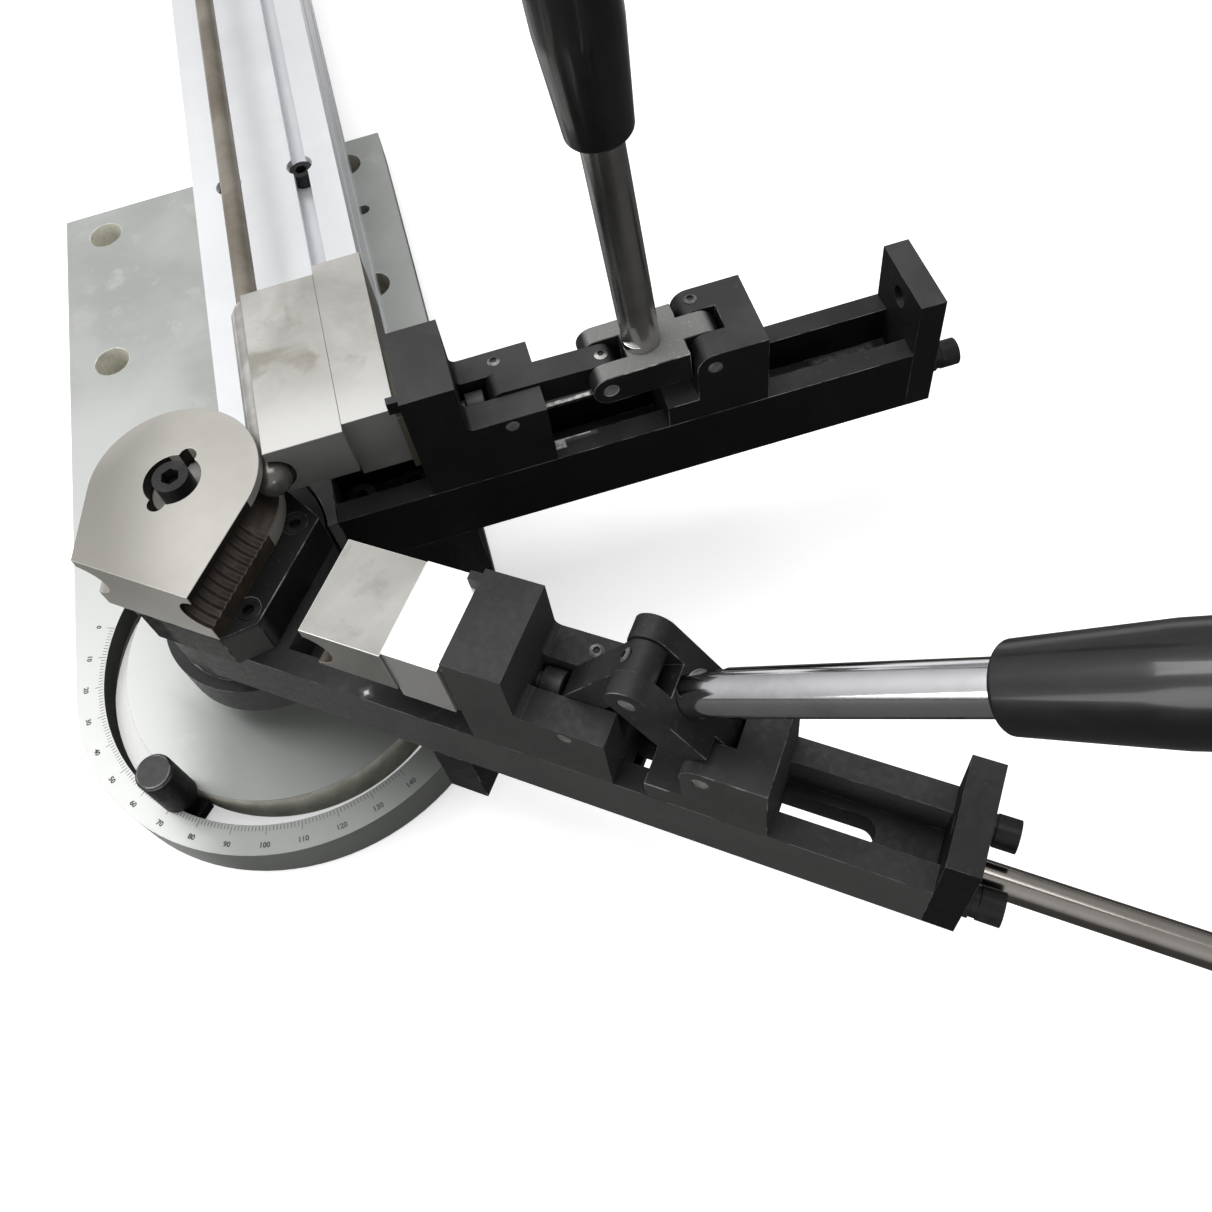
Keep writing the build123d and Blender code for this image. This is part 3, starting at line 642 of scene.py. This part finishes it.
def paintOwn(piece, node, turn):
    # turn 0 is for the faces of the solid, turn 1 for the edges broken since
    slots = {kind: slotFor(piece, pair[turn]) for kind, pair in ownFinish.get(node, {}).items()}
    for face in piece.data.polygons:
        if not slots or face.material_index != turn:
            continue
        if node == "base_plate":
            kind = plateKind(face.center, face.normal)
        else:
            kind = "groove" if inGroove(node, face.center, face.normal) else None
        face.material_index = slots.get(kind, turn)


edgeBreak = {"segments": 2, "sharp": math.radians(38)}


def dressNode(node, finish, edge, width):
    # a merged copy of the solid, with its edges broken as a machinist would
    piece = bpy.data.objects.new(node + "_dressed", cadNodes[node].data.copy())
    bpy.context.scene.collection.objects.link(piece)
    piece.data.materials.clear()
    for name in (finish, edge):
        piece.data.materials.append(finishes[name])
    mergeFlat(piece)
    if node in pocketLook["turn"]:
        cutPocket(piece, node)
    if node == rootRelief["node"]:
        easeTop(piece)
    if node == nutRelief["node"]:
        easeNut(piece)
    for face in piece.data.polygons:
        face.material_index = 0
    paintOwn(piece, node, 0)
    bevel = piece.modifiers.new("brokenEdge", "BEVEL")
    bevel.width = width
    bevel.segments = edgeBreak["segments"]
    bevel.limit_method = "ANGLE"
    bevel.angle_limit = edgeBreak["sharp"]
    bevel.material = 1  # the edge's finish
    bpy.ops.object.modifier_apply(modifier="brokenEdge")
    paintOwn(piece, node, 1)
    bpy.ops.object.shade_smooth_by_angle(angle=edgeBreak["sharp"])
    weigh = piece.modifiers.new("flatFaces", "WEIGHTED_NORMAL")
    weigh.keep_sharp = True
    bpy.ops.object.modifier_apply(modifier="flatFaces")
    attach(piece, bodyOf(node))
    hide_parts(node)
    slotOf(node)
    return piece


toggleSides = ("pressure", "clamp")
dressing = [
    {"finish": "lowerBlack", "edge": "wornAndSheenEdge", "width": 0.45 * mm, "nodes": [
        "clamp_adjust_block", "clamp_holder"]},
    {"finish": "blackened", "edge": "wornAndSheenEdge", "width": 0.45 * mm, "nodes": [
        "stop_bracket", "clamp_link", "clamp_yoke", "stop_nut"]},
    {"finish": "endBlack", "edge": "wornAndSheenEdge", "width": 0.45 * mm, "nodes": ["swing_end_plate"]},
    {"finish": "upperBlack", "edge": "wornAndSheenEdge", "width": 0.45 * mm, "nodes": [
        "arm_riser", "pressure_end_plate", "angle_stop", "rod_support", "pressure_adjust_block",
        "pressure_holder", "pressure_link"]},
    {"finish": "swingBlack", "edge": "wornAndSheenEdge", "width": 0.45 * mm, "nodes": ["swing_arm"]},
    {"finish": "seatBlack", "edge": "wornAndSheenEdge", "width": 0.45 * mm, "nodes": ["die_seat"]},
    {"finish": "armBlack", "edge": "wornAndSheenEdge", "width": 0.45 * mm, "nodes": ["pressure_arm"]},
    {"finish": "rootGrey", "edge": "wornAndSheenEdge", "width": 0.5 * mm, "nodes": ["arm_root"]},
    {"finish": "yokeWornAndLit", "edge": "brightEdge", "width": 0.6 * mm, "nodes": ["pressure_yoke"]},
    {"finish": "screwBlack", "edge": "screwBlack", "width": 0.35 * mm, "nodes": [
        "rail_screws", "arm_screws", "pressure_end_screws", "swing_end_screws", "seat_screws",
        "die_screw", "rod_support_screws"]},
    {"finish": "boltHeadLit", "edge": "boltHeadLit", "width": 0.6 * mm, "nodes": [
        "pressure_die_bolt", "clamp_die_bolt"]},
    {"finish": "dieSteel", "edge": "dieSteel", "width": 0.3 * mm, "nodes": ["bend_die"]},
    {"finish": "pressureSteel", "edge": "clampSteel", "width": 0.3 * mm, "nodes": [
        "pressure_die", "pressure_backing"]},
    {"finish": "clampSteel", "edge": "clampBright", "width": 0.3 * mm, "nodes": ["clamp_die"]},
    {"finish": "clampBright", "edge": "clampBright", "width": 0.3 * mm, "nodes": [
        "clamp_backing"]},
    {"finish": "plateSteel", "edge": "plateSteel", "width": 0.5 * mm, "nodes": ["base_plate"]},
    {"finish": "railAluminium", "edge": "railAluminium", "width": 0.4 * mm, "nodes": ["rail"]},
    {"finish": "pinSteel", "edge": "pinSteel", "width": 0.3 * mm, "nodes": [
        f"{side}_{pin}" for side in toggleSides for pin in ("rear_pin", "link_pin", "holder_pin")]},
    {"finish": "shimBrown", "edge": "shimBrown", "width": 0.2 * mm, "nodes": [
        "pressure_shim", "clamp_shim"]},
    {"finish": "mandrelSteel", "edge": "mandrelSteel", "width": 0.2 * mm, "nodes": ["mandrel_rod"]},
    {"finish": "mandrelBright", "edge": "mandrelBright", "width": 0.2 * mm, "nodes": [
        "mandrel_head"]},
    {"finish": "dullChrome", "edge": "chrome", "width": 0.4 * mm, "nodes": ["pressure_lever"]},
    {"finish": "chrome", "edge": "chrome", "width": 0.4 * mm, "nodes": ["clamp_lever"]},
    {"finish": "pullChrome", "edge": "pullChrome", "width": 0.4 * mm, "nodes": ["pull_rod"]},
    {"finish": "gripBlack", "edge": "gripBlack", "width": 0.6 * mm, "nodes": [
        "pressure_grip", "clamp_grip"]},
]
dressed = [dressNode(node, plan["finish"], plan["edge"], plan["width"])
           for plan in dressing for node in plan["nodes"]]
print("pieces dressed:", len(dressed))

# pieces that hardly show keep their CAD mesh
hiddenFinish = {
    "pinSteel": ["pivot_post", "post_cap"],
    "bronze": ["thrust_washer", "pivot_bush"],
    "blackened": ["pressure_keeper", "clamp_keeper"],
    "screwBlack": ["post_screw", "pressure_adjust_bolt", "clamp_adjust_bolt"],
}
for finishName, members in hiddenFinish.items():
    for member in members:
        cadNodes[member].data.materials.clear()
        cadNodes[member].data.materials.append(finishes[finishName])
print("inner pieces finished")


# small socket set screws that hold the toggle's pins, and one in the hub's neck
smoothAngle = math.radians(35)
setScrewLook = {
    "radius": 2.8 * mm, "deep": 2.4 * mm, "proud": 0.45 * mm, "sides": 36, "chamfer": 0.3 * mm,
    "segments": 2, "rim": 0.7 * mm, "socket": 1.5 * mm, "hollow": 1.4 * mm, "rimLean": 0.1,
    "finish": "screwBlack", "rimFinish": "brightEdge", "neckFinish": "pinSteel"}
facingUp = 0.99  # the least that a flat top's normal rises
setScrewSpots = {
    "ears": [("pressure_slide", "pressure_holder_pin", 139.0 * mm, 0.0),
             ("pressure_adjuster", "pressure_rear_pin", 142.0 * mm, 0.0),
             ("clamp_slide", "clamp_holder_pin", 139.0 * mm, swingTurn),
             ("clamp_adjuster", "clamp_rear_pin", 142.0 * mm, swingTurn)],
    "across": 13.6 * mm,
    "links": [("pressure_link", math.radians(1.5), 0.0),
              ("clamp_link", math.radians(-55.5), swingTurn)],
    "linkRise": 6.3 * mm,
    "neck": {"turn": math.radians(-137.4), "radius": 40.0 * mm, "height": 64.0 * mm}}


def pickFaces(piece, wanted):
    # select by place or normal, then go on in edit mode
    for face in piece.data.polygons:
        face.select = wanted(face)
    bpy.ops.object.mode_set(mode="EDIT")


def makeSetScrew():
    look = setScrewLook
    bpy.ops.object.select_all(action="DESELECT")
    bpy.ops.mesh.primitive_cylinder_add(vertices=look["sides"], radius=look["radius"],
                                        depth=look["deep"], location=(0, 0, 0))
    screw = bpy.context.active_object
    bpy.ops.object.mode_set(mode="EDIT")
    bpy.ops.mesh.select_all(action="DESELECT")
    bpy.ops.object.mode_set(mode="OBJECT")
    pickFaces(screw, lambda face: face.normal.z > facingUp)
    bpy.ops.mesh.bevel(offset=look["chamfer"], segments=look["segments"], affect="EDGES")
    bpy.ops.object.mode_set(mode="OBJECT")
    top = max(vertex.co.z for vertex in screw.data.vertices) - mergeLook["gap"]
    pickFaces(screw, lambda face: face.normal.z > facingUp and face.center.z > top)
    bpy.ops.mesh.inset(thickness=look["rim"])
    bpy.ops.object.mode_set(mode="OBJECT")
    flatTurn, halfTurn = math.radians(60), math.radians(30)  # of the socket's six flats
    for vertex in screw.data.vertices:
        if vertex.select:
            turn = math.atan2(vertex.co.y, vertex.co.x) % flatTurn - halfTurn
            reach = look["socket"] * math.cos(halfTurn) / math.cos(turn)
            vertex.co.xy = vertex.co.xy.normalized() * reach
    bpy.ops.object.mode_set(mode="EDIT")
    bpy.ops.mesh.extrude_region_move(TRANSFORM_OT_translate={"value": (0, 0, -look["hollow"])})
    bpy.ops.object.mode_set(mode="OBJECT")
    bpy.ops.object.shade_smooth_by_angle(angle=smoothAngle)
    for name in (look["finish"], look["rimFinish"]):
        screw.data.materials.append(finishes[name])
    # the rim round the socket takes the lighter rim finish, a painted highlight
    for face in screw.data.polygons:
        outside = math.hypot(face.center.x, face.center.y) > look["socket"]
        face.material_index = 1 if outside and face.normal.z > look["rimLean"] else 0
    screw.data.transform(Matrix.Translation((0, 0, look["proud"] - look["deep"] / 2)))
    return screw


def setScrewMoves():
    # the body and place of each: over the ears' pins, on the links and in the hub's neck
    spots = setScrewSpots
    for body, pin, height, yaw in spots["ears"]:
        centre = pinCentre(pin) + Matrix.Rotation(yaw, 3, "Z") @ Vector((0, spots["across"], 0))
        yield body, Matrix.Translation((centre.x, centre.y, height))
    for body, lean, yaw in spots["links"]:
        stand = Matrix.Rotation(yaw, 4, "Z") @ Matrix.Rotation(lean, 4, "Y")
        rise = Matrix.Translation((0, 0, spots["linkRise"]))
        yield body, Matrix.Translation(pinCentre(body + "_pin")) @ stand @ rise
    neck = spots["neck"]
    out = Vector((math.cos(neck["turn"]), math.sin(neck["turn"]), 0))
    lie = Vector((0, 0, 1)).rotation_difference(out).to_matrix().to_4x4()
    yield "swing", Matrix.Translation(out * neck["radius"] + Vector((0, 0, neck["height"]))) @ lie


def placeSetScrews():
    seed = makeSetScrew()
    moves = list(setScrewMoves())
    for count, (body, move) in enumerate(moves):
        screw = seed.copy()
        screw.data = seed.data.copy()
        if body == "swing":
            screw.data.materials[1] = finishes[setScrewLook["neckFinish"]]
        screw.name = f"set_screw_{count}"
        bpy.context.scene.collection.objects.link(screw)
        screw.data.transform(move)
        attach(screw, body)
    bpy.data.objects.remove(seed)
    return len(moves)


print("set screws placed:", placeSetScrews())

# the inner wall of the arc slot, from the lip of the plate down to its underside, in the pale wall
# finish that is painted light
stepLook = {"reach": (76.6 * mm, 81.2 * mm), "height": (0.1 * mm, 9.1 * mm),
            "from": math.radians(348.0), "turn": math.radians(196.0), "steps": 196,
            "finish": "paleLitWall"}


def makeSlotStep():
    (inner, outer), (low, high) = stepLook["reach"], stepLook["height"]
    bpy.ops.object.select_all(action="DESELECT")
    bpy.ops.mesh.primitive_plane_add(size=1.0, location=(0, 0, 0))
    step = bpy.context.active_object
    step.name = "slot_step"
    start = Matrix.Rotation(stepLook["from"], 4, "Z")
    middle = Matrix.Translation(((inner + outer) / 2, 0, (low + high) / 2))
    stand = Matrix.Rotation(math.radians(90), 4, "X")
    size = Matrix.Diagonal((outer - inner, high - low, 1, 1))
    step.data.transform(start @ middle @ stand @ size)
    bpy.ops.object.mode_set(mode="EDIT")
    bpy.ops.mesh.select_all(action="SELECT")
    bpy.ops.mesh.spin(steps=stepLook["steps"], angle=stepLook["turn"], center=(0, 0, 0),
                      axis=(0, 0, 1))
    bpy.ops.mesh.select_all(action="SELECT")
    bpy.ops.mesh.normals_make_consistent(inside=False)
    bpy.ops.object.mode_set(mode="OBJECT")
    bpy.ops.object.shade_smooth_by_angle(angle=smoothAngle)
    step.data.materials.append(finishes[stepLook["finish"]])
    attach(step, "base")
    return step


print("slot step made:", len(makeSlotStep().data.polygons), "faces")

# the engraved angle scale on the rim of the base plate
scaleLook = {
    "from": 157.5, "marks": 140, "longEach": 10, "top": 22.0 * mm, "inner": 93.3 * mm,
    "short": 2.2 * mm, "long": 4.0 * mm, "wide": 0.28 * mm, "rise": 0.05 * mm,
    "numbers": 102.0 * mm, "height": 3.4 * mm, "bold": 0.13 * mm, "curve": 3, "finish": "scaleInk"}


def makeMark(length):
    look = scaleLook
    bpy.ops.object.select_all(action="DESELECT")
    bpy.ops.mesh.primitive_plane_add(size=1.0, location=(0, 0, 0))
    mark = bpy.context.active_object
    mark.data.transform(Matrix.Translation((look["inner"] + length / 2, 0, look["top"]))
                        @ Matrix.Diagonal((length, look["wide"], 1, 1)))
    bpy.ops.object.mode_set(mode="EDIT")
    bpy.ops.mesh.select_all(action="SELECT")
    bpy.ops.mesh.extrude_region_move(TRANSFORM_OT_translate={"value": (0, 0, look["rise"])})
    bpy.ops.mesh.select_all(action="SELECT")
    bpy.ops.mesh.normals_make_consistent(inside=False)
    bpy.ops.object.mode_set(mode="OBJECT")
    return mark


def makeNumber(text):
    look = scaleLook
    bpy.ops.object.select_all(action="DESELECT")
    bpy.ops.object.text_add(location=(0, 0, 0))
    words = bpy.context.active_object
    words.data.body = text
    words.data.align_x = "CENTER"
    words.data.align_y = "CENTER"
    words.data.size = look["height"]
    words.data.offset = look["bold"]
    words.data.extrude = look["rise"] / 2
    words.data.resolution_u = look["curve"]
    bpy.ops.object.convert(target="MESH")
    digits = bpy.context.active_object
    digits.data.transform(Matrix.Translation((look["numbers"], 0, look["top"] + look["rise"] / 2))
                          @ Matrix.Rotation(math.radians(90), 4, "Z"))
    return digits


def makeScale():
    look = scaleLook
    shortMark, longMark = makeMark(look["short"]), makeMark(look["long"])
    made = []
    for degree in range(look["marks"] + 1):
        turn = Matrix.Rotation(math.radians(look["from"] + degree), 4, "Z")
        isLong = degree % look["longEach"] == 0
        seed = longMark if isLong else shortMark
        mark = seed.copy()
        mark.data = seed.data.copy()
        mark.data.transform(turn)
        bpy.context.scene.collection.objects.link(mark)
        made.append(mark)
        if isLong:
            digits = makeNumber(str(degree))
            digits.data.transform(turn)
            made.append(digits)
    for seed in (shortMark, longMark):
        bpy.data.objects.remove(seed)
    pickOnly(made[0])
    for mark in made:
        mark.select_set(True)
    bpy.ops.object.join()
    scale = bpy.context.active_object
    scale.name = "angle_scale"
    bpy.ops.object.mode_set(mode="EDIT")
    bpy.ops.mesh.select_all(action="SELECT")
    bpy.ops.mesh.remove_doubles(threshold=mergeLook["gap"])
    bpy.ops.object.mode_set(mode="OBJECT")
    scale.data.materials.clear()
    scale.data.materials.append(finishes[look["finish"]])
    for face in scale.data.polygons:
        face.material_index = 0
    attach(scale, "base")


makeScale()
print("angle scale engraved")


# floor, sky, lamps and camera
floorLook = {
    "size": 9.0, "drop": 0.5 * mm, "metallic": 0.0, "specular": 0.1, "rough": 0.9,
    "colour": (0.95, 0.95, 0.95), "glow": 0.42, "bounce": (0.42, 0.42, 0.42),
    "shine": (0.085, 0.083, 0.08),
    "zones": [zone((0.9, 0.89, 0.9), (0.2, 1.6, 0), (1.6, 0.9, 0.1), 0.5)]}


def makeFloor():
    # pale to the camera, duller in what it throws back at the part
    look = floorLook
    bpy.ops.object.select_all(action="DESELECT")
    bpy.ops.mesh.primitive_plane_add(size=look["size"], location=(0, 0, -look["drop"]))
    floor = bpy.context.active_object
    floor.name = "floor"
    finish, tree, shader = startFinish("floorPale", look)
    shader.inputs["Roughness"].default_value = look["rough"]
    shader.inputs["Emission Color"].default_value = (1, 1, 1, 1)
    path = addNode(tree, "ShaderNodeLightPath")
    shine = addZones(tree, look["shine"], look)
    unseen = mixColours(tree, path.outputs["Is Glossy Ray"], look["bounce"], shine)
    tone = mixColours(tree, path.outputs["Is Camera Ray"], unseen, look["colour"])
    tree.links.new(tone, shader.inputs["Base Color"])
    glow = spread(tree, path.outputs["Is Camera Ray"], 0.0, look["glow"])
    tree.links.new(glow, shader.inputs["Emission Strength"])
    floor.data.materials.append(finish)


worldLook = {
    "plain": (1.0, 1.0, 1.0), "power": 0.85, "left": 1.2, "right": 0.5,
    "sky": [(0.0, 0.3), (0.5, 0.42), (0.58, 0.55), (0.7, 0.85), (0.82, 0.95), (1.0, 0.8)]}


def makeSky():
    # a soft sky, brighter on the left as from a window
    world = bpy.data.worlds.new("studio")
    bpy.context.scene.world = world
    world.use_nodes = True
    tree = world.node_tree
    aim = addNode(tree, "ShaderNodeTexCoord")
    parts = addNode(tree, "ShaderNodeSeparateXYZ")
    ramp = addNode(tree, "ShaderNodeValToRGB")
    steps = ramp.color_ramp.elements
    while len(steps) < len(worldLook["sky"]):
        steps.new(0.5)
    for step, (height, tone) in zip(steps, worldLook["sky"]):
        step.position = height
        step.color = (tone, tone, tone, 1)
    tree.links.new(aim.outputs["Generated"], parts.inputs[0])
    tree.links.new(spread(tree, parts.outputs["Z"], 0.0, 1.0, -1.0, 1.0), ramp.inputs["Fac"])
    across = spread(tree, parts.outputs["X"], worldLook["left"], worldLook["right"], -1.0, 1.0)
    skyTone = timesBoth(tree, ramp.outputs["Color"], across)
    path = addNode(tree, "ShaderNodeLightPath")
    seen = mixColours(tree, path.outputs["Is Camera Ray"], skyTone, worldLook["plain"])
    backdrop = tree.nodes["Background"]
    tree.links.new(seen, backdrop.inputs["Color"])
    backdrop.inputs["Strength"].default_value = worldLook["power"]


lamps = [
    {"name": "topSoftbox", "at": (0.1, 0.3, 1.7), "aim": (0.1, 0.0, 0.1), "size": 1.2,
     "power": 12.0},
    {"name": "leftSoftbox", "at": (-0.9, 0.5, 1.3), "aim": (0.0, -0.05, 0.1), "size": 0.6,
     "power": 7.0},
    {"name": "frontFill", "at": (-1.4, -0.7, 0.7), "aim": (0.15, 0.0, 0.1), "size": 0.9,
     "power": 8.0},
    {"name": "lowWindow", "at": (0.32, -1.55, 0.75), "aim": (0.4, -0.35, 0.08), "size": 0.2,
     "power": 1.1},
]


def hangLamp(lamp):
    light = bpy.data.lights.new(lamp["name"], "AREA")
    light.size = lamp["size"]
    light.energy = lamp["power"]
    holder = bpy.data.objects.new(lamp["name"], light)
    holder.location = lamp["at"]
    shining = Vector(lamp["aim"]) - Vector(lamp["at"])
    holder.rotation_euler = shining.to_track_quat("-Z", "Y").to_euler()
    bpy.context.scene.collection.objects.link(holder)


# solved on the straight edges of the photograph; focal length and centre are in its pixels
lensLook = {"at": (128.40 * mm, -308.03 * mm, 508.84 * mm), "turn": (0.568, 0.157, -0.236),
            "focal": 1179.06, "frame": 1212.0, "centre": (528.27, 542.24), "sensor": 36.0,
            "near": 10.0 * mm}


def placeCamera():
    look = lensLook
    lens = bpy.data.cameras.new("photoCamera")
    lens.sensor_width = look["sensor"]
    lens.lens = look["sensor"] * look["focal"] / look["frame"]
    lens.shift_x = 0.5 - look["centre"][0] / look["frame"]
    lens.shift_y = look["centre"][1] / look["frame"] - 0.5
    lens.clip_start = look["near"]
    camera = bpy.data.objects.new("photoCamera", lens)
    turn = Euler(look["turn"], "XYZ").to_matrix().to_4x4()
    camera.matrix_world = Matrix.Translation(look["at"]) @ turn
    bpy.context.scene.collection.objects.link(camera)
    bpy.context.scene.camera = camera
    bpy.context.scene.view_settings.view_transform = "Standard"


makeFloor()
makeSky()
for lamp in lamps:
    hangLamp(lamp)
placeCamera()
print("stage, lights and camera placed")
